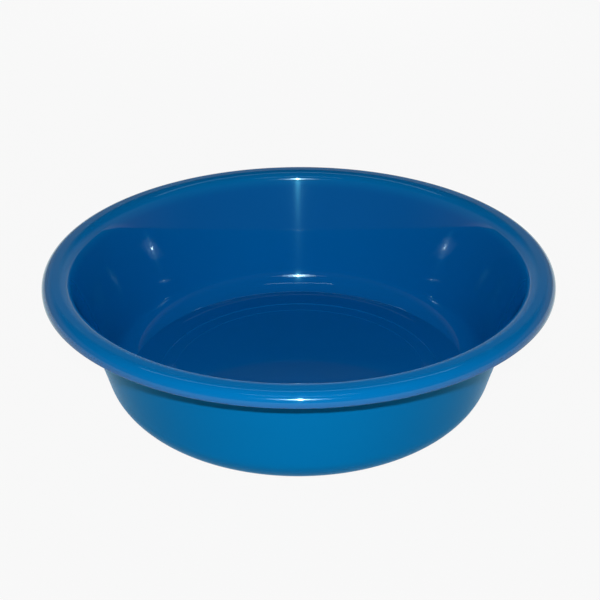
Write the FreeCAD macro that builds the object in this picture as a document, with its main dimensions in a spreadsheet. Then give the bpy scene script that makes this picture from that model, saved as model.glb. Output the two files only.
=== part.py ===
"""Round washing up bowl, moulded in one piece.

The bowl is a thin shell of even thickness. Its half section is drawn once and turned about the
upright axis. Z is up, the origin is the middle of the face that the bowl stands on, and all
lengths are in millimetres.
"""

import FreeCAD, Part
import math
import os
from types import SimpleNamespace

import Sketcher

# ---------------------------------------------------------------- sizes
# name, value, what it measures
SIZES = [
    ("rim_diameter", 360.0, "over the outside of the rolled rim"),
    ("bowl_height", 99.0, "table to the top of the rim"),
    ("wall_thickness", 2.2, "the same all over the shell"),
    ("rim_outer_roll", 7.3, "radius of the rim's outer quarter round"),
    ("rim_top_width", 4.1, "flat between the two rounds of the rim"),
    ("rim_inner_roll", 8.9, "radius of the rim's round into the bowl"),
    ("lip_drop", 1.3, "straight lip below the outer quarter round"),
    ("wall_angle", 20.2, "degrees that the wall leans out where it meets the rim"),
    ("wall_bow_radius", 650.0, "slow inward bow of the side wall, inside face"),
    ("cove_radius", 28.4, "round between the wall and the floor, inside face"),
    ("cove_end_angle", 33.0, "degrees that the cove still climbs where it meets the floor"),
    ("floor_edge_round", 1.2, "radius in the corner of the cove and the floor"),
    ("panel_inset", 21.2, "from the edge of the floor in to the outer step ring"),
    ("panel_step", 0.5, "drop of the floor at the outer step ring"),
    ("ring_inset", 10.2, "from the outer step ring in to the inner one"),
    ("ring_step", 0.25, "drop of the floor at the inner step ring"),
    ("foot_height", 2.6, "table to the underside of the floor, beside the stand ring"),
    ("foot_face_width", 3.3, "flat that the stand ring rests on"),
    ("foot_edge_bevel", 0.5, "broken edges of the stand ring, along each face"),
    ("gate_dish_diameter", 16.0, "round dish in the middle of the underside"),
    ("gate_dish_depth", 0.6, "depth of that dish"),
    ("gate_pip_diameter", 3.2, "stub where the plastic was fed in"),
    ("gate_pip_height", 0.35, "height of that stub inside its dish"),
]
SIZE = {name: value for name, value, _ in SIZES}

FLOOR_STEPS = ("panel", "ring")  # from the edge of the floor to its middle
SAME = 0.01  # lengths closer than this count as equal
VOLUME_SLACK = 0.01  # share of a small feature's volume that may be off


def make_sheet(doc):
    """Spreadsheet of the driving dimensions, one alias for each."""
    sheet = doc.addObject("Spreadsheet::Sheet", "sizes")
    for row, (name, value, meaning) in enumerate(SIZES, start=1):
        sheet.set(f"A{row}", name)
        sheet.set(f"B{row}", str(value))
        sheet.setAlias(f"B{row}", name)
        sheet.set(f"C{row}", meaning)
    doc.recompute()
    return sheet


def origin_plane(body, role):
    """One of the body's own origin planes."""
    for feature in body.Origin.OriginFeatures:
        if feature.Role == role:
            return feature
    raise RuntimeError("no origin plane " + role)


def new_sketch(body, name, role):
    sketch = body.newObject("Sketcher::SketchObject", name)
    sketch.AttachmentSupport = [(origin_plane(body, role), "")]
    sketch.MapMode = "FlatFace"
    return sketch


# ---------------------------------------------------------------- drawing in a sketch
START, END, CENTRE = range(1, 4)  # the points of an edge, as a constraint counts them
ORIGIN = (-1, START)


class Section:
    """Closed outline in a sketch, drawn edge by edge and tied to the sheet."""

    def __init__(self, sketch):
        self.sketch = sketch

    def line(self, start, end):
        segment = Part.LineSegment(FreeCAD.Vector(*start, 0), FreeCAD.Vector(*end, 0))
        return self.sketch.addGeometry(segment, False)

    def arc(self, centre, radius, first_degrees, last_degrees):
        """Arc that runs anticlockwise from the first angle to the last."""
        circle = Part.Circle(FreeCAD.Vector(*centre, 0), FreeCAD.Vector(0, 0, 1), radius)
        curve = Part.ArcOfCircle(circle, math.radians(first_degrees), math.radians(last_degrees))
        return self.sketch.addGeometry(curve, False)

    def chain(self, points):
        """Straight edges through the points, joined end to start."""
        edges = [self.line(first, second) for first, second in zip(points, points[1:])]
        for edge, following in zip(edges, edges[1:]):
            self.join((edge, END), (following, START))
        return edges

    def join(self, point, other):
        self.sketch.addConstraint(Sketcher.Constraint("Coincident", *point, *other))

    def smooth(self, point, other):
        self.sketch.addConstraint(Sketcher.Constraint("Tangent", *point, *other))

    def level(self, *edges):
        for edge in edges:
            self.sketch.addConstraint(Sketcher.Constraint("Horizontal", edge))

    def upright(self, *edges):
        for edge in edges:
            self.sketch.addConstraint(Sketcher.Constraint("Vertical", edge))

    def bind(self, kind, name, arguments, value, expression):
        """Dimension with a name, driven by an expression of the sheet."""
        index = self.sketch.addConstraint(Sketcher.Constraint(kind, *arguments, value))
        self.sketch.renameConstraint(index, name)
        self.sketch.setExpression("Constraints." + name, expression)

    def radius(self, name, edge, value, expression):
        self.bind("Radius", name, (edge,), value, expression)

    def across(self, name, point, value, expression, start=ORIGIN):
        """How much further out a point lies than the start, which is the axis if none is given."""
        self.bind("DistanceX", name, (*start, *point), value, expression)

    def above(self, name, point, value, expression, start=ORIGIN):
        """How much higher a point lies than the start, which is the table if none is given."""
        self.bind("DistanceY", name, (*start, *point), value, expression)


# ---------------------------------------------------------------- the shell's half section
def polar(centre, radius, degrees):
    turn = math.radians(degrees)
    return (centre[0] + radius * math.cos(turn), centre[1] + radius * math.sin(turn))


def heading(start, end):
    return math.degrees(math.atan2(end[1] - start[1], end[0] - start[0]))


def section_points():
    """Centres of the section's arcs and the corners of its floor, as (radius, height)."""
    thickness = SIZE["wall_thickness"]
    height = SIZE["bowl_height"]
    climb = SIZE["cove_end_angle"]
    cove = SIZE["cove_radius"]
    bow = SIZE["wall_bow_radius"]
    at = SimpleNamespace()

    at.outer = (SIZE["rim_diameter"] / 2 - SIZE["rim_outer_roll"], height - SIZE["rim_outer_roll"])
    at.inner = (at.outer[0] - SIZE["rim_top_width"], height - SIZE["rim_inner_roll"])
    at.bow = polar(at.inner, bow - SIZE["rim_inner_roll"], -SIZE["wall_angle"])
    floor = SIZE["foot_height"] + thickness
    cove_height = floor + cove * math.cos(math.radians(climb))
    reach = math.sqrt((bow + cove) ** 2 - (cove_height - at.bow[1]) ** 2)
    at.cove = (at.bow[0] - reach, cove_height)

    foot_reach = math.sqrt((cove + thickness) ** 2 - cove_height**2)
    at.foot = (at.cove[0] + foot_reach, 0)
    at.bore = (at.foot[0] - SIZE["foot_face_width"], 0)

    radius, level = polar(at.cove, cove, climb - 90)
    at.floor = [(radius, level)]
    for step in FLOOR_STEPS:
        radius -= SIZE[step + "_inset"]
        drop = SIZE[step + "_step"]
        at.floor.append((radius, level))
        at.floor.append((radius - drop, level - drop))
        level -= drop
    at.floor.append((0, level))
    return at


def draw_floor(section, at):
    """Inside and underside of the floor, which drops a little inside each of its two rings.

    Each corner of the underside lies one wall thickness below its corner of the inside, and
    further out by as much as keeps the slope of the step as thick as the rest.
    """
    thickness = SIZE["wall_thickness"]
    shift = thickness * math.tan(math.radians(45 / 2))
    under_corners = [(radius + shift, level - thickness) for radius, level in at.floor[1:-1]]
    bore_top = (at.bore[0], under_corners[0][1])
    under_middle = (0, under_corners[-1][1])
    inside = section.chain(at.floor)
    under = section.chain([bore_top, *under_corners, under_middle])
    axis_edge = section.line(under_middle, at.floor[-1])
    section.join((axis_edge, START), (under[-1], END))
    section.join((axis_edge, END), (inside[-1], END))
    section.upright(axis_edge)
    section.across("axis_x", (axis_edge, START), 0, "0")

    lands = inside[::2]
    slopes = inside[1::2]
    section.level(*lands, under[0], under[-1])
    ring_start = (lands[0], START)
    for name, land, slope in zip(FLOOR_STEPS, lands, slopes):
        inset = SIZE[name + "_inset"]
        drop = SIZE[name + "_step"]
        top, foot = (slope, START), (slope, END)
        section.across(name + "_inset", ring_start, inset, f"sizes.{name}_inset", start=top)
        section.across(name + "_run", top, drop, f"sizes.{name}_step", start=foot)
        section.above(name + "_drop", top, drop, f"sizes.{name}_step", start=foot)
        ring_start = (land, END)
    for number, (edge, under_edge) in enumerate(zip(inside[:-1], under[:-1]), start=1):
        corner, under_corner = (edge, END), (under_edge, END)
        shift_name = f"under_shift_{number}"
        section.across(
            shift_name, under_corner, shift, "sizes.wall_thickness * tan(45 / 2)", start=corner
        )
        section.above(
            f"under_gap_{number}", corner, thickness, "sizes.wall_thickness", start=under_corner
        )
    return inside[0], under[0]


def draw_shell(sketch):
    """Half section of the shell: inside face, rolled rim, outside face, stand ring and floor."""
    section = Section(sketch)
    at = section_points()
    thickness = SIZE["wall_thickness"]
    rim_radius = SIZE["rim_diameter"] / 2
    height = SIZE["bowl_height"]
    outer_roll = SIZE["rim_outer_roll"]
    inner_roll = SIZE["rim_inner_roll"]
    cove = SIZE["cove_radius"]
    bow = SIZE["wall_bow_radius"]
    wall_top = 180 - SIZE["wall_angle"]
    wall_foot = heading(at.cove, at.bow)
    cove_end = SIZE["cove_end_angle"] - 90
    foot_touch = heading(at.cove, at.foot)
    lip_radius = rim_radius - thickness
    lip_end = at.outer[1] - SIZE["lip_drop"]
    under_top = height - thickness
    under_floor = SIZE["foot_height"]

    floor_edge, under_edge = draw_floor(section, at)
    # inside face, from the edge of the floor up to the rim, and over to the lip
    cove_in = section.arc(at.cove, cove, cove_end, wall_foot)
    wall_in = section.arc(at.bow, bow, wall_top, wall_foot + 180)
    roll_in = section.arc(at.inner, inner_roll, 90, wall_top)
    top = section.line((at.inner[0], height), (at.outer[0], height))
    roll_out = section.arc(at.outer, outer_roll, 0, 90)
    lip_out = section.line((rim_radius, at.outer[1]), (rim_radius, lip_end))
    lip = section.line((rim_radius, lip_end), (lip_radius, lip_end))
    # under the rim and down the outside face to the stand ring
    lip_in = section.line((lip_radius, lip_end), (lip_radius, at.outer[1]))
    roll_out_under = section.arc(at.outer, outer_roll - thickness, 0, 90)
    top_under = section.line((at.outer[0], under_top), (at.inner[0], under_top))
    roll_in_under = section.arc(at.inner, inner_roll - thickness, 90, wall_top)
    wall_out = section.arc(at.bow, bow - thickness, wall_top, wall_foot + 180)
    cove_out = section.arc(at.cove, cove + thickness, foot_touch, wall_foot)
    stand = section.line(at.foot, at.bore)
    bore_wall = section.line(at.bore, (at.bore[0], under_floor))

    section.join((floor_edge, START), (cove_in, START))
    section.smooth((cove_in, END), (wall_in, END))
    section.smooth((wall_in, START), (roll_in, END))
    section.smooth((roll_in, START), (top, START))
    section.smooth((top, END), (roll_out, END))
    section.smooth((roll_out, START), (lip_out, START))
    section.join((lip_out, END), (lip, START))
    section.join((lip, END), (lip_in, START))
    section.smooth((lip_in, END), (roll_out_under, START))
    section.smooth((roll_out_under, END), (top_under, START))
    section.smooth((top_under, END), (roll_in_under, START))
    section.smooth((roll_in_under, END), (wall_out, START))
    section.smooth((wall_out, END), (cove_out, END))
    section.join((cove_out, START), (stand, START))
    section.join((stand, END), (bore_wall, START))
    section.join((bore_wall, END), (under_edge, START))
    # the outside runs one wall thickness from the inside, about the same centres
    section.join((roll_out_under, CENTRE), (roll_out, CENTRE))
    section.join((roll_in_under, CENTRE), (roll_in, CENTRE))
    section.join((wall_out, CENTRE), (wall_in, CENTRE))
    section.join((cove_out, CENTRE), (cove_in, CENTRE))
    section.level(top, lip, stand)
    section.upright(lip_out, lip_in, bore_wall)

    rim_round = "sizes.rim_diameter / 2 - sizes.rim_outer_roll"
    rim_flat = rim_round + " - sizes.rim_top_width"
    section.above("rim_z", (top, START), height, "sizes.bowl_height")
    section.radius("outer_roll", roll_out, outer_roll, "sizes.rim_outer_roll")
    section.across("outer_roll_r", (roll_out, CENTRE), at.outer[0], rim_round)
    section.radius("inner_roll", roll_in, inner_roll, "sizes.rim_inner_roll")
    section.across("inner_roll_r", (roll_in, CENTRE), at.inner[0], rim_flat)
    section.across(
        "wall_lean",
        (roll_in, CENTRE),
        inner_roll * math.cos(math.radians(SIZE["wall_angle"])),
        "sizes.rim_inner_roll * cos(sizes.wall_angle)",
        start=(roll_in, END),
    )
    section.radius("bow", wall_in, bow, "sizes.wall_bow_radius")
    section.radius("cove", cove_in, cove, "sizes.cove_radius")
    section.above(
        "cove_end",
        (cove_in, CENTRE),
        at.cove[1] - at.floor[0][1],
        "sizes.cove_radius * cos(sizes.cove_end_angle)",
        start=(cove_in, START),
    )
    section.above(
        "lip_z", (lip_out, START), SIZE["lip_drop"], "sizes.lip_drop", start=(lip_out, END)
    )
    section.across(
        "lip_width", (lip, START), thickness, "sizes.wall_thickness", start=(lip, END)
    )
    section.radius(
        "inner_roll_under",
        roll_in_under,
        inner_roll - thickness,
        "sizes.rim_inner_roll - sizes.wall_thickness",
    )
    section.above("table_z", (stand, START), 0, "0")
    section.across(
        "foot_face",
        (stand, START),
        SIZE["foot_face_width"],
        "sizes.foot_face_width",
        start=(stand, END),
    )
    section.above("under_z", (bore_wall, END), under_floor, "sizes.foot_height")


# ---------------------------------------------------------------- features of the body
def turned_shell(body):
    """The shell itself: the half section turned once round the upright axis."""
    sketch = new_sketch(body, "shell_section", "XZ_Plane")
    draw_shell(sketch)
    shell = body.newObject("PartDesign::Revolution", "shell")
    shell.Profile = sketch
    shell.ReferenceAxis = (sketch, ["V_Axis"])
    shell.Angle = 360
    return shell


def ring_edges(shape, radius, height):
    """Names of the round edges about the axis at one radius and height."""
    names = []
    for number, edge in enumerate(shape.Edges, start=1):
        if not isinstance(edge.Curve, Part.Circle):
            continue
        same_radius = abs(edge.Curve.Radius - radius) < SAME
        same_height = abs(edge.Curve.Center.z - height) < SAME
        if same_radius and same_height:
            names.append(f"Edge{number}")
    return names


def broken_foot_edges(body, base):
    """Small bevels on both edges of the face that the bowl stands on."""
    at = section_points()
    edges = ring_edges(base.Shape, *at.foot) + ring_edges(base.Shape, *at.bore)
    if len(edges) < 2:
        raise RuntimeError("an edge of the stand ring is missing")
    bevel = body.newObject("PartDesign::Chamfer", "foot_edges")
    bevel.Base = (base, edges)
    bevel.Size = SIZE["foot_edge_bevel"]
    bevel.setExpression("Size", "sizes.foot_edge_bevel")
    return bevel


def rounded_floor_edge(body, shell):
    """Small round in the corner where the cove runs into the flat floor."""
    edges = ring_edges(shell.Shape, *section_points().floor[0])
    if not edges:
        raise RuntimeError("the edge between the cove and the floor is missing")
    fillet = body.newObject("PartDesign::Fillet", "floor_edge")
    fillet.Base = (shell, edges)
    fillet.Radius = SIZE["floor_edge_round"]
    fillet.setExpression("Radius", "sizes.floor_edge_round")
    return fillet


def disc_sketch(body, name, height, height_expression, diameter_name):
    """Circle about the axis on a level plane, for the marks of the gate."""
    sketch = new_sketch(body, name, "XY_Plane")
    sketch.AttachmentOffset = FreeCAD.Placement(
        FreeCAD.Vector(0, 0, height), FreeCAD.Rotation(0, 0, 0)
    )
    sketch.setExpression("AttachmentOffset.Base.z", height_expression)
    diameter = SIZE[diameter_name]
    circle = sketch.addGeometry(
        Part.Circle(FreeCAD.Vector(0, 0, 0), FreeCAD.Vector(0, 0, 1), diameter / 2), False
    )
    sketch.addConstraint(Sketcher.Constraint("Coincident", circle, CENTRE, *ORIGIN))
    index = sketch.addConstraint(Sketcher.Constraint("Diameter", circle, diameter))
    sketch.renameConstraint(index, "across")
    sketch.setExpression("Constraints.across", "sizes." + diameter_name)
    return sketch


def gate_marks(body):
    """Shallow dish under the middle of the floor, with the stub of the feed inside it."""
    underside = "sizes.foot_height - sizes.panel_step - sizes.ring_step"
    dish_top = underside + " + sizes.gate_dish_depth"
    underside_z = SIZE["foot_height"] - SIZE["panel_step"] - SIZE["ring_step"]
    dish_z = underside_z + SIZE["gate_dish_depth"]

    dish = body.newObject("PartDesign::Pocket", "gate_dish")
    dish.Profile = disc_sketch(body, "gate_dish_circle", dish_z, dish_top, "gate_dish_diameter")
    dish.Reversed = False
    dish.Length = dish_z
    dish.setExpression("Length", dish_top)

    pip = body.newObject("PartDesign::Pad", "gate_pip")
    pip.Profile = disc_sketch(body, "gate_pip_circle", dish_z, dish_top, "gate_pip_diameter")
    pip.Reversed = True
    pip.Length = SIZE["gate_pip_height"]
    pip.setExpression("Length", "sizes.gate_pip_height")
    return dish, pip


def disc_volume(diameter, height):
    return math.pi * diameter**2 / 4 * height


def make_bowl(doc):
    """The one moulding."""
    body = doc.addObject("PartDesign::Body", "bowl")
    body.Label = "bowl"
    shell = turned_shell(body)
    doc.recompute()
    floor_edge = rounded_floor_edge(body, shell)
    doc.recompute()
    broken_foot_edges(body, floor_edge)
    doc.recompute()
    before = body.Shape.Volume
    dish, pip = gate_marks(body)
    doc.recompute()
    removed = disc_volume(SIZE["gate_dish_diameter"], SIZE["gate_dish_depth"])
    added = disc_volume(SIZE["gate_pip_diameter"], SIZE["gate_pip_height"])
    if abs(before - dish.Shape.Volume - removed) > VOLUME_SLACK * removed:
        raise RuntimeError("the dish of the gate was not cut as drawn")
    if abs(pip.Shape.Volume - dish.Shape.Volume - added) > VOLUME_SLACK * added:
        raise RuntimeError("the stub of the gate was not added as drawn")
    return body


def check(doc, bodies):
    """Every object has to be computed, and every part a sound single solid."""
    for thing in doc.Objects:
        if "Invalid" in thing.State or "Error" in thing.State:
            raise RuntimeError(thing.Name + " failed")
    for body in bodies:
        shape = body.Shape
        if shape.isNull() or not shape.isValid() or len(shape.Solids) != 1:
            raise RuntimeError(body.Label + " is not one sound solid")


doc = FreeCAD.newDocument("washing_up_bowl")
make_sheet(doc)
bodies = [make_bowl(doc)]
check(doc, bodies)
os.makedirs("parts", exist_ok=True)
for body in bodies:
    body.Shape.exportStep(f"parts/{body.Label}.step")
    print(body.Label, "volume", round(body.Shape.Volume), "mm3")
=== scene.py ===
import math

import bpy
from mathutils import Matrix, Vector


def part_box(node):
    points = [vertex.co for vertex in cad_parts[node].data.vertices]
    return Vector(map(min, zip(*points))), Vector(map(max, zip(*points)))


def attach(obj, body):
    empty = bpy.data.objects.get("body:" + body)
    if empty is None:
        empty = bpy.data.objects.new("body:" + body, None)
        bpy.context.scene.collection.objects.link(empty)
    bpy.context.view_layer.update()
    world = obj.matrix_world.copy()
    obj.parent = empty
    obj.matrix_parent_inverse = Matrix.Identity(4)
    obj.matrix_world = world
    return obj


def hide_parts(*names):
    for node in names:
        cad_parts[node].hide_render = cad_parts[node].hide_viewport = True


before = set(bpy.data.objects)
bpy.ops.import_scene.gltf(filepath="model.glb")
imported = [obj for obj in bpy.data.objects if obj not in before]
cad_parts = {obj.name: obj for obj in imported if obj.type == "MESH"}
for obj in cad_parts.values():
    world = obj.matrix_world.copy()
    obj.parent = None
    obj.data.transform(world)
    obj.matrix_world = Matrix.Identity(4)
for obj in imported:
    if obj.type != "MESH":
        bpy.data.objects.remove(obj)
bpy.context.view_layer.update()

# The round washing up bowl: one glossy blue moulding on a white table, under plain studio light.
# Lengths are in metres. The bowl stands on z = 0 and is turned about the z axis.

MM = 0.001
bowl_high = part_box("bowl")[1]

# ---------------------------------------------------------------- sizes of the bowl
RIM_RADIUS = bowl_high.x
HEIGHT = bowl_high.z
WALL = 2.2 * MM

# rim: an inner roll, a flat top, and an outer roll that ends in a free lip
OUTER_ROLL = 7.3 * MM
RIM_TOP = 4.1 * MM
INNER_ROLL = 8.9 * MM
LIP = 1.3 * MM
LIP_EDGE_ROUND = 0.4 * MM
LIP_END = HEIGHT - OUTER_ROLL - LIP

# wall, its lean just under the rim, and the cove that takes it into the floor
WALL_ANGLE = math.radians(20.2)
WALL_BOW = 650 * MM
COVE = 28.4 * MM
COVE_END = math.radians(33)
FLOOR_EDGE_ROUND = 1.2 * MM

# floor, with two small steps down to a panel and a ring in it
PANEL_INSET = 21.2 * MM
PANEL_STEP = 0.5 * MM
RING_INSET = 10.2 * MM
RING_STEP = 0.25 * MM
STEP_EDGE_ROUND = 0.15 * MM

# stand ring, and the dish and stub that the gate leaves in the middle of the underside
FOOT_HEIGHT = 2.6 * MM
FOOT_FACE = 3.3 * MM
FOOT_BEVEL = 0.5 * MM
GATE_DISH_RADIUS = 8 * MM
GATE_DISH_DEPTH = 0.6 * MM
GATE_PIP_RADIUS = 1.6 * MM
GATE_PIP_HEIGHT = 0.35 * MM

# how finely the section is drawn and turned
ARC_STEP = math.radians(4)
CORNER_STEP = ARC_STEP * 2
BOW_STEP = math.radians(0.5)
TURN_STEPS = 256
HOLD = 0.3 * MM  # from the end of a flat to the vertex that keeps it flat
MERGE = 0.001 * MM
CREASE = math.radians(30)

# ---------------------------------------------------------------- camera of the photograph
CAMERA_DISTANCE = 0.8  # from the middle of the rim
CAMERA_ELEVATION = math.radians(26.10)
CAMERA_PITCH = math.radians(28.27)
CAMERA_YAW = math.radians(-0.07)
CAMERA_ROLL = math.radians(0.17)
FOCAL_PIXELS = 1124.7
PICTURE_PIXELS = 600
SENSOR_MM = 36
NEAR_CLIP = 10 * MM


# ---------------------------------------------------------------- small helpers
def linear(hex_colour):
    """An sRGB hex colour as linear RGBA."""
    parts = [int(hex_colour[place : place + 2], 16) / 255 for place in (0, 2, 4)]
    straight = [c / 12.92 if c <= 0.04045 else ((c + 0.055) / 1.055) ** 2.4 for c in parts]
    return (*straight, 1.0)


def node(tree, kind, settings=None, **inputs):
    """A shader node with its settings, and its inputs as values or links from other nodes."""
    made = tree.nodes.new(kind)
    for name, value in (settings or {}).items():
        setattr(made, name, value)
    for name, value in inputs.items():
        socket = made.inputs[int(name[1:]) if name[1:].isdigit() else name.replace("_", " ")]
        if isinstance(value, bpy.types.NodeSocket):
            tree.links.new(value, socket)
        else:
            socket.default_value = value
    return made


def new_material(name):
    """A material with an empty node tree, and its output node."""
    material = bpy.data.materials.new(name)
    material.use_nodes = True
    tree = material.node_tree
    tree.nodes.clear()
    return material, tree, tree.nodes.new("ShaderNodeOutputMaterial")


def polar(centre, radius, angle):
    """The point at a distance and an angle from another, as (radius, height)."""
    return (centre[0] + radius * math.cos(angle), centre[1] + radius * math.sin(angle))


def heading(start, end):
    """The angle of the way from one point to another."""
    return math.atan2(end[1] - start[1], end[0] - start[0])


# ---------------------------------------------------------------- the bowl's mesh
class Pen:
    """Draws the half section in edit mode, from one vertex that is pushed and turned along."""

    def __init__(self, start):
        bpy.ops.object.select_all(action="DESELECT")
        bpy.ops.mesh.primitive_plane_add(size=MM, location=(start[0], 0, start[1]))
        self.piece = bpy.context.object
        bpy.ops.object.mode_set(mode="EDIT")
        bpy.ops.mesh.select_mode(type="VERT")
        bpy.ops.mesh.merge(type="CENTER")
        self.spot = start

    def line(self, end):
        """Straight edge to a point, as (radius, height)."""
        push = (end[0] - self.spot[0], 0, end[1] - self.spot[1])
        bpy.ops.mesh.extrude_region_move(TRANSFORM_OT_translate={"value": push})
        self.spot = end

    def flat(self, end):
        """Straight edge with a holding vertex close to each of its ends, which keeps it flat."""
        start = self.spot
        length = math.dist(start, end)
        for share in (HOLD / length, 1 - HOLD / length):
            self.line(tuple(a + (b - a) * share for a, b in zip(start, end)))
        self.line(end)

    def arc(self, centre, radius, first, last, step=ARC_STEP):
        """Round stretch about a centre, from the pen's place at the first angle to the last."""
        bpy.ops.mesh.spin(
            steps=max(2, math.ceil(abs(last - first) / step)),
            angle=last - first,
            center=(centre[0], 0, centre[1]),
            axis=(0, 1, 0),
        )
        self.spot = polar(centre, radius, last)

    def corner(self, point, following, radius):
        """Straight edge up to a rounded corner, and the round towards the following point."""
        before, after = heading(self.spot, point), heading(point, following)
        turn = math.remainder(after - before, math.tau)
        reach = radius * math.tan(abs(turn) / 2)
        self.line(polar(point, -reach, before))
        side = math.copysign(math.pi / 2, turn)
        centre = polar(self.spot, radius, before + side)
        self.arc(centre, radius, before - side, before - side + turn, CORNER_STEP)


def draw_half_section():
    """The shell's outline from the middle of the floor's inside round to its underside."""
    floor = FOOT_HEIGHT + WALL
    outer = (RIM_RADIUS - OUTER_ROLL, HEIGHT - OUTER_ROLL)
    inner = (outer[0] - RIM_TOP, HEIGHT - INNER_ROLL)
    bow = polar(inner, WALL_BOW - INNER_ROLL, -WALL_ANGLE)
    cove_height = floor + COVE * math.cos(COVE_END)
    reach = math.sqrt((WALL_BOW + COVE) ** 2 - (cove_height - bow[1]) ** 2)
    cove = (bow[0] - reach, cove_height)
    wall_foot = heading(cove, bow)
    edge = polar(cove, COVE, COVE_END - math.pi / 2)
    panel = edge[0] - PANEL_INSET
    ring = panel - RING_INSET
    panel_floor = floor - PANEL_STEP
    ring_floor = panel_floor - RING_STEP
    shift = WALL * math.tan(math.pi / 8)
    foot = (cove[0] + math.sqrt((COVE + WALL) ** 2 - cove_height**2), 0)
    bore = foot[0] - FOOT_FACE

    pen = Pen((0, ring_floor))
    # inside of the floor, with its two steps
    pen.corner((ring - RING_STEP, ring_floor), (ring, panel_floor), STEP_EDGE_ROUND)
    pen.corner((ring, panel_floor), (panel, panel_floor), STEP_EDGE_ROUND)
    pen.corner((panel - PANEL_STEP, panel_floor), (panel, floor), STEP_EDGE_ROUND)
    pen.corner((panel, floor), (edge[0], floor), STEP_EDGE_ROUND)
    # small round into the cove: it touches the floor and the cove from inside the bowl
    round_height = floor + FLOOR_EDGE_ROUND
    across = math.sqrt((COVE - FLOOR_EDGE_ROUND) ** 2 - (cove_height - round_height) ** 2)
    edge_round = (cove[0] + across, round_height)
    round_end = heading(cove, edge_round)
    pen.flat((edge_round[0], floor))
    pen.arc(edge_round, FLOOR_EDGE_ROUND, -math.pi / 2, round_end)
    pen.arc(cove, COVE, round_end, wall_foot)
    # wall, inner roll, flat top, outer roll and lip
    pen.arc(bow, WALL_BOW, wall_foot + math.pi, math.pi - WALL_ANGLE, BOW_STEP)
    pen.arc(inner, INNER_ROLL, math.pi - WALL_ANGLE, math.pi / 2)
    pen.flat((outer[0], HEIGHT))
    pen.arc(outer, OUTER_ROLL, math.pi / 2, 0)
    lip_in = RIM_RADIUS - WALL
    pen.corner((RIM_RADIUS, LIP_END), (lip_in, LIP_END), LIP_EDGE_ROUND)
    pen.corner((lip_in, LIP_END), (lip_in, outer[1]), LIP_EDGE_ROUND)
    # underside of the rim, outside of the wall and cove
    pen.line((lip_in, outer[1]))
    pen.arc(outer, OUTER_ROLL - WALL, 0, math.pi / 2)
    pen.flat((inner[0], HEIGHT - WALL))
    pen.arc(inner, INNER_ROLL - WALL, math.pi / 2, math.pi - WALL_ANGLE)
    pen.arc(bow, WALL_BOW - WALL, math.pi - WALL_ANGLE, wall_foot + math.pi, BOW_STEP)
    foot_bevel_top = cove_height - FOOT_BEVEL * math.sin(math.pi / 4)
    foot_angle = -math.asin(foot_bevel_top / (COVE + WALL))
    pen.arc(cove, COVE + WALL, wall_foot, foot_angle)
    # stand ring and underside of the floor, with the dish and stub of the gate
    pen.line((foot[0] - FOOT_BEVEL * math.cos(math.pi / 4), 0))
    pen.line((bore + FOOT_BEVEL, 0))
    pen.line((bore, FOOT_BEVEL))
    pen.line((bore, FOOT_HEIGHT))
    under_panel = FOOT_HEIGHT - PANEL_STEP
    under_ring = under_panel - RING_STEP
    pen.line((panel + shift, FOOT_HEIGHT))
    pen.line((panel + shift - PANEL_STEP, under_panel))
    pen.line((ring + shift, under_panel))
    pen.line((ring + shift - RING_STEP, under_ring))
    dish_top = under_ring + GATE_DISH_DEPTH
    pip_end = dish_top - GATE_PIP_HEIGHT
    pen.line((GATE_DISH_RADIUS, under_ring))
    pen.line((GATE_DISH_RADIUS, dish_top))
    pen.line((GATE_PIP_RADIUS, dish_top))
    pen.line((GATE_PIP_RADIUS, pip_end))
    pen.line((0, pip_end))
    return pen.piece


def make_bowl():
    """The moulding: the half section spun once about the upright axis."""
    bowl = draw_half_section()
    bpy.ops.mesh.select_all(action="SELECT")
    bpy.ops.mesh.spin(steps=TURN_STEPS, angle=math.tau, center=(0, 0, 0), axis=(0, 0, 1))
    bpy.ops.mesh.select_all(action="SELECT")
    bpy.ops.mesh.remove_doubles(threshold=MERGE)
    bpy.ops.mesh.normals_make_consistent(inside=False)
    bpy.ops.object.mode_set(mode="OBJECT")
    bpy.ops.object.transform_apply(location=True, rotation=True, scale=True)
    bpy.ops.object.shade_smooth_by_angle(angle=CREASE)
    bowl.name = "bowl_moulding"
    bowl.data.name = "bowl_moulding"
    return bowl


# ---------------------------------------------------------------- materials
PLASTIC_IOR = 1.49
WAVE_WIDTH = 38 * MM
WAVE_HEIGHT = 0.05 * MM
CLOUD_WIDTH = 60 * MM
CLOUD_SHARE = 0.15
PAINTED_SHADE_HEIGHTS = (86 * MM, 95 * MM)  # painted shade: the inside's darker tone turns into the rim's between these heights
ACROSS = 0.25  # a quarter turn, from along the mould's marks to across them


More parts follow.
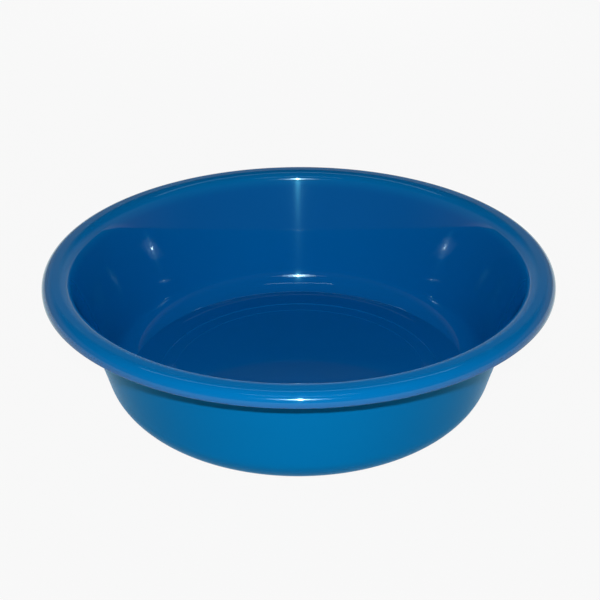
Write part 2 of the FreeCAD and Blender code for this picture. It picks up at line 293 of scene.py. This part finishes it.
def moulded_polypropylene(name, gloss, level, drawn, skin, skin_ior, skin_tint, tones_and_painted_shade):
    """Blue polypropylene, injection moulded, with a skin as smooth as the mould that made it.

    The skin gives the sharper reflections. The wider gloss below it is bluer, and is drawn out,
    by the share given, across the fine marks that the turned mould left round the bowl. The
    flow of the plastic leaves slow waves that bend reflections, and clouds in its colour. The
    tones are those of the bowl below the rim, of the rim, and of the clouds. Where the first is
    darker than the second, it is painted shade for the inside of the bowl.
    """
    material, tree, output = new_material(name)
    place = node(tree, "ShaderNodeTexCoord").outputs["Object"]
    waves = node(
        tree,
        "ShaderNodeTexNoise",
        Vector=place,
        Scale=1 / WAVE_WIDTH,
        Detail=2.0,
        Roughness=0.4,
    ).outputs["Fac"]
    relief = node(
        tree, "ShaderNodeBump", Strength=1.0, Distance=WAVE_HEIGHT, Height=waves
    ).outputs["Normal"]
    clouds = node(
        tree,
        "ShaderNodeTexNoise",
        Vector=place,
        Scale=1 / CLOUD_WIDTH,
        Detail=3.0,
        Roughness=0.5,
    ).outputs["Fac"]
    height = node(tree, "ShaderNodeSeparateXYZ", Vector=place).outputs["Z"]
    at_rim = node(
        tree,
        "ShaderNodeMapRange",
        {"interpolation_type": "SMOOTHSTEP"},
        Value=height,
        From_Min=PAINTED_SHADE_HEIGHTS[0],
        From_Max=PAINTED_SHADE_HEIGHTS[1],
    ).outputs[0]
    # painted shade: below the rim the bowl is given a darker tone than at the rim
    tone = node(
        tree,
        "ShaderNodeMix",
        {"data_type": "RGBA"},
        _0=at_rim,
        _6=linear(tones_and_painted_shade[0]),
        _7=linear(tones_and_painted_shade[1]),
    ).outputs[2]
    paler = node(
        tree, "ShaderNodeMath", {"operation": "MULTIPLY"}, _0=clouds, _1=CLOUD_SHARE
    ).outputs[0]
    colour = node(
        tree, "ShaderNodeMix", {"data_type": "RGBA"}, _0=paler, _6=tone, _7=linear(tones_and_painted_shade[2])
    ).outputs[2]
    round_marks = node(
        tree, "ShaderNodeTangent", {"direction_type": "RADIAL", "axis": "Z"}
    ).outputs["Tangent"]
    plastic = node(
        tree,
        "ShaderNodeBsdfPrincipled",
        Base_Color=colour,
        Roughness=gloss,
        IOR=PLASTIC_IOR,
        Specular_IOR_Level=level,
        Anisotropic=drawn,
        Anisotropic_Rotation=ACROSS,
        Tangent=round_marks,
        Normal=relief,
        Coat_Weight=1.0,
        Coat_Roughness=skin,
        Coat_IOR=skin_ior,
        Coat_Tint=linear(skin_tint),
        Coat_Normal=relief,
    )
    tree.links.new(plastic.outputs["BSDF"], output.inputs["Surface"])
    return material


TABLE_TOP = "727272"
TABLE_GLOW = 0.93
WHITE = "ffffff"


def white_table():
    """White laminate, smooth and matt: it shows as white, and keeps the bowl's soft shadow."""
    material, tree, output = new_material("white_laminate")
    rays = node(tree, "ShaderNodeLightPath").outputs
    seen = node(
        tree,
        "ShaderNodeMath",
        {"operation": "MAXIMUM"},
        _0=rays["Is Camera Ray"],
        _1=rays["Is Glossy Ray"],
    ).outputs[0]
    seen = node(
        tree, "ShaderNodeMath", {"operation": "MAXIMUM"}, _0=seen, _1=rays["Is Transmission Ray"]
    ).outputs[0]
    share = node(
        tree, "ShaderNodeMath", {"operation": "MULTIPLY"}, _0=seen, _1=TABLE_GLOW
    ).outputs[0]
    top = node(tree, "ShaderNodeBsdfDiffuse", Color=linear(TABLE_TOP)).outputs[0]
    glow = node(tree, "ShaderNodeEmission", Color=linear(WHITE), Strength=1.0).outputs[0]
    mix = node(tree, "ShaderNodeMixShader", _0=share, _1=top, _2=glow).outputs[0]
    tree.links.new(mix, output.inputs["Surface"])
    return material


DOWNWARDS = -0.05  # a face with less height than this in its normal looks down


def give_finishes_and_painted_shade(bowl):
    """Polished on the inside and the rim, and satin on the outside and underside. The inside and
    rim are also given darker blues than the outside, which is painted shade.
    """
    # painted shade: the inside and rim are given darker blues than the satin outside
    polished_and_shaded = moulded_polypropylene(
        "moulded_polypropylene_polished_painted_shade",
        gloss=0.17,
        level=0.04,
        drawn=1.0,
        skin=0.04,
        skin_ior=1.4,
        skin_tint="90f0ff",
        tones_and_painted_shade=("005f9d", "0070a8", "0076b0"),
    )
    satin = moulded_polypropylene(
        "moulded_polypropylene_satin",
        gloss=0.4,
        level=0.15,
        drawn=0.0,
        skin=0.25,
        skin_ior=1.045,
        skin_tint="18f0ff",
        tones_and_painted_shade=("0085bc", "0085bc", "008ac0"),
    )
    bowl.data.materials.append(polished_and_shaded)
    bowl.data.materials.append(satin)
    # the same split carries the painted shade: faces not given the satin finish get the darker
    # blues
    for face in bowl.data.polygons:
        outwards = face.normal.x * face.center.x + face.normal.y * face.center.y > 0
        under = face.normal.z < DOWNWARDS
        face.material_index = int((outwards or under) and face.center.z < LIP_END)


# ---------------------------------------------------------------- stage, light and camera
TABLE_SIZE = 400.0

# how bright the studio's parts are, where 1 is white, and the heights between which they fade
ROOM = 0.018
SWEEP_BACK = 0.3
SWEEP_FRONT = 0.05
SWEEP_TURN = 0.6
SWEEP_TOP = (math.sin(math.radians(21)), math.sin(math.radians(35)))
TABLE_END = (math.sin(math.radians(1)), math.sin(math.radians(6)))
COOL = "c4f0ff"


def make_table():
    """The table top, so wide that it ends at the horizon."""
    bpy.ops.object.select_all(action="DESELECT")
    bpy.ops.mesh.primitive_plane_add(size=TABLE_SIZE)
    table = bpy.context.object
    table.name = "table"
    table.data.materials.append(white_table())


def make_world():
    """A studio, by the height and side that a look goes out to.

    The table ends in a white band along the horizon. Behind the bowl a sweep, fainter at the
    front, reaches up from there, and all around and above is a dim room.
    """
    world = bpy.data.worlds.new("studio")
    bpy.context.scene.world = world
    world.use_nodes = True
    tree = world.node_tree
    tree.nodes.clear()
    output = tree.nodes.new("ShaderNodeOutputWorld")
    way = node(tree, "ShaderNodeTexCoord").outputs["Generated"]
    axes = node(tree, "ShaderNodeSeparateXYZ", Vector=way).outputs
    up = node(
        tree,
        "ShaderNodeMapRange",
        {"interpolation_type": "SMOOTHSTEP"},
        Value=axes["Z"],
        From_Min=SWEEP_TOP[0],
        From_Max=SWEEP_TOP[1],
        To_Min=1.0,
        To_Max=0.0,
    ).outputs[0]
    back = node(
        tree,
        "ShaderNodeMapRange",
        {"interpolation_type": "SMOOTHSTEP"},
        Value=axes["Y"],
        From_Min=-SWEEP_TURN,
        From_Max=SWEEP_TURN,
        To_Min=SWEEP_FRONT,
        To_Max=SWEEP_BACK,
    ).outputs[0]
    sweep = node(tree, "ShaderNodeMath", {"operation": "MULTIPLY"}, _0=up, _1=back).outputs[0]
    level = node(tree, "ShaderNodeMath", {"operation": "ADD"}, _0=sweep, _1=ROOM).outputs[0]
    table_end = node(
        tree,
        "ShaderNodeMapRange",
        {"interpolation_type": "SMOOTHSTEP"},
        Value=axes["Z"],
        From_Min=TABLE_END[0],
        From_Max=TABLE_END[1],
        To_Min=TABLE_GLOW,
        To_Max=0.0,
    ).outputs[0]
    level = node(
        tree, "ShaderNodeMath", {"operation": "MAXIMUM"}, _0=level, _1=table_end
    ).outputs[0]
    light = node(
        tree, "ShaderNodeBackground", Color=linear(WHITE), Strength=level
    ).outputs[0]
    tree.links.new(light, output.inputs["Surface"])


def area_light(name, place, size, watts, shape="RECTANGLE", glossy_only=True):
    """A lamp of a width and height at a place, facing the bowl.

    It lights the bowl in white without showing in its gloss, or it shows in the gloss alone,
    in the cool pale blue that highlights on blue plastic have.
    """
    lamp = bpy.data.lights.new(name, "AREA")
    lamp.shape = shape
    lamp.size, lamp.size_y = size
    lamp.energy = watts
    lamp.color = linear(COOL if glossy_only else WHITE)[:3]
    holder = bpy.data.objects.new(name, lamp)
    bpy.context.scene.collection.objects.link(holder)
    holder.location = place
    aim = Vector((0, 0, HEIGHT)) - Vector(place)
    holder.rotation_euler = aim.to_track_quat("-Z", "Y").to_euler()
    holder.visible_diffuse = not glossy_only
    holder.visible_glossy = glossy_only


def make_lights():
    """A small flash just above the camera and a soft fill from behind light the bowl.

    The others show in its gloss: the flash's bright tube, the dish, screen, rim and wings that
    fade out round it, and two strips overhead for the long lines of light on the rim.
    """
    area_light("key_flash", (0, -0.73, 0.535), (0.07, 0.016), 6.5, glossy_only=False)
    area_light("back_fill", (0, 1.3, 0.45), (0.7, 0.7), 10, glossy_only=False)
    area_light("flash_tube", (0.004, -0.73, 0.515), (0.022, 0.026), 7)
    area_light("flash_dish", (0, -0.735, 0.515), (0.12, 0.11), 0.9, "ELLIPSE")
    area_light("flash_screen", (0, -0.74, 0.515), (0.21, 0.17), 0.8, "ELLIPSE")
    area_light("flash_rim", (0, -0.742, 0.515), (0.33, 0.16), 0.8, "ELLIPSE")
    area_light("flash_wings", (0, -0.745, 0.515), (0.55, 0.04), 0.15, "ELLIPSE")
    area_light("overhead_strip", (0, 0.4, 1.2), (1.3, 0.12), 1.0)
    area_light("front_strip", (0, -0.57, 1.0), (0.68, 0.03), 0.4)


def make_camera():
    """The photograph's view, worked out from the outlines of the rim, floor and wall."""
    lens = bpy.data.cameras.new("camera")
    lens.sensor_width = SENSOR_MM
    lens.lens = FOCAL_PIXELS / PICTURE_PIXELS * SENSOR_MM
    lens.clip_start = NEAR_CLIP
    camera = bpy.data.objects.new("camera", lens)
    bpy.context.scene.collection.objects.link(camera)
    back = CAMERA_DISTANCE * math.cos(CAMERA_ELEVATION)
    up = CAMERA_DISTANCE * math.sin(CAMERA_ELEVATION)
    camera.matrix_world = (
        Matrix.Translation((0, -back, HEIGHT + up))
        @ Matrix.Rotation(CAMERA_YAW, 4, "Z")
        @ Matrix.Rotation(math.pi / 2 - CAMERA_PITCH, 4, "X")
        @ Matrix.Rotation(-CAMERA_ROLL, 4, "Z")
    )
    bpy.context.scene.camera = camera


bowl = make_bowl()
give_finishes_and_painted_shade(bowl)
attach(bowl, "root")
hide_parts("bowl")
make_table()
make_world()
make_lights()
make_camera()
bpy.context.scene.view_settings.view_transform = "Standard"
